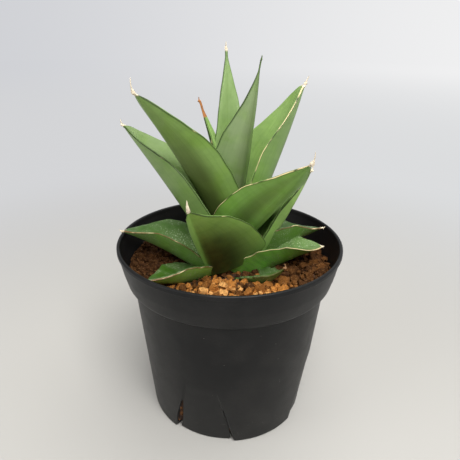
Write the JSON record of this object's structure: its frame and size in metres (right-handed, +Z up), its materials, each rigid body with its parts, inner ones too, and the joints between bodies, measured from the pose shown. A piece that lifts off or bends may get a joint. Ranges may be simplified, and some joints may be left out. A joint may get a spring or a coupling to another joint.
{
  "type": "potted snake plant",
  "caption": "Young snake plant with thick, channelled, spine-tipped leaves in a low rosette, growing in fired-clay grains in a black plastic nursery pot with slotted foot",
  "frame": {"origin": "centre of the underside of the pot's foot, at the bottom of the object", "axes": "+Z up, plant's front faces -Y, +X to the plant's right as seen from the front"},
  "size_m": [0.1498, 0.1498, 0.2492],
  "materials": {
    "pot": "satin-matte moulded plastic",
    "substrate": "rough porous grains",
    "rhizome": "smooth fleshy stem",
    "leaf_upper": "waxy, softly glossy",
    "leaf_lower": "waxy, speckled with mineral marks"
  },
  "bodies": {
    "root": {"pot": "pot", "substrate": "substrate", "rhizome": "rhizome", "leaf_front": "leaf_upper", "leaf_right_middle": "leaf_upper", "leaf_right_behind": "leaf_upper", "leaf_left_lower": "leaf_upper", "leaf_left_upper": "leaf_upper", "leaf_right_upper": "leaf_upper", "leaf_centre": "leaf_upper", "leaf_back": "leaf_upper", "leaf_inner": "leaf_upper", "leaf_low_front_right": "leaf_lower", "leaf_low_front_left": "leaf_lower", "leaf_low_left": "leaf_lower", "leaf_low_right": "leaf_lower", "leaf_low_back": "leaf_lower"}
  },
  "joints": []
}
